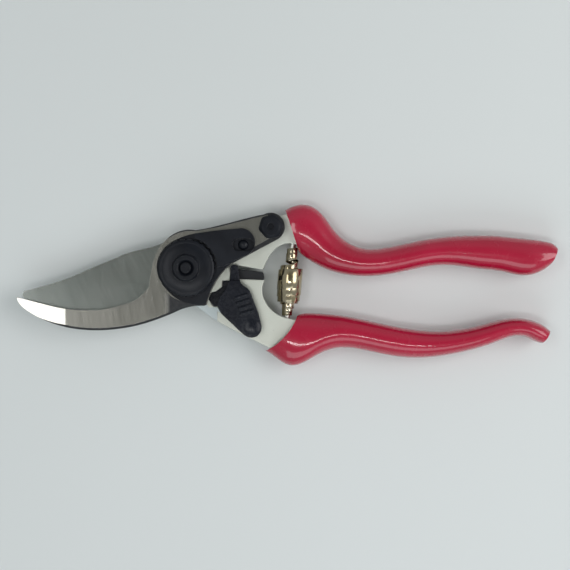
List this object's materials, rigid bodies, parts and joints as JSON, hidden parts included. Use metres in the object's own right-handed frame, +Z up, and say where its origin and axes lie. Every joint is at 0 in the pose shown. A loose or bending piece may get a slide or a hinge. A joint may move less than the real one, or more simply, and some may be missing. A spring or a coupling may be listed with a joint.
{
  "type": "pruning shears",
  "caption": "Bypass pruning shears with curved steel blades, aluminium handles dipped in red vinyl, black adjusting nut, thumb catch and volute spring, shown closed",
  "frame": {"origin": "centre of the footprint of the closed shears on the rest surface, which touches the bolt head", "axes": "+X from the blade tips to the grip ends, +Y from the lower handle to the upper handle, +Z up from the rest surface to the adjusting nut"},
  "size_m": [0.2148, 0.0643, 0.0196],
  "materials": {
    "blade_steel": "polished ground steel",
    "hook_steel": "polished steel face with black coated edges",
    "alloy": "satin pressure-cast aluminium",
    "red_vinyl": "glossy crimson dipped vinyl",
    "black_steel": "black oxide and lacquer, semi gloss",
    "zinc_steel": "zinc plated",
    "bearing_bronze": "turned bronze",
    "spring_steel": "warm polished strip, brass coloured plating",
    "black_nylon": "black moulded nylon, semi gloss",
    "black_rubber": "soft satin rubber"
  },
  "bodies": {
    "lower_body": {"lower_handle": "alloy", "lower_grip": "red_vinyl", "cutting_blade": "blade_steel", "blade_rivets": "zinc_steel", "pivot_bush": "bearing_bronze", "lower_spring_peg": "zinc_steel", "volute_spring": "spring_steel", "catch_detent": "black_nylon", "catch_pin": "zinc_steel", "bumper": "black_rubber", "bumper_pins": "black_rubber"},
    "upper_body": {"upper_handle": "alloy", "upper_grip": "red_vinyl", "hook_plate": "hook_steel", "tang_rivets": "zinc_steel", "tang_screw": "black_steel", "pivot_bolt": "black_steel", "bolt_washer": "zinc_steel", "adjusting_nut": "black_steel", "cover_plate": "black_steel", "toothed_segment": "black_steel", "segment_screw": "black_steel", "upper_spring_peg": "zinc_steel"},
    "catch_body": {"thumb_catch": "black_nylon"}
  },
  "joints": [
    {"name": "main_pivot", "type": "hinge", "parent": "lower_body", "child": "upper_body", "pos_m": [-0.04, 0.0065, 0.0086], "axis": [0, 0, 1], "range_deg": [0, 34], "deforming": ["volute_spring"]},
    {"name": "catch_pivot", "type": "hinge", "parent": "lower_body", "child": "catch_body", "pos_m": [-0.0235, -0.005, 0.0104], "axis": [0, 0, -1], "range_deg": [0, 20]}
  ]
}
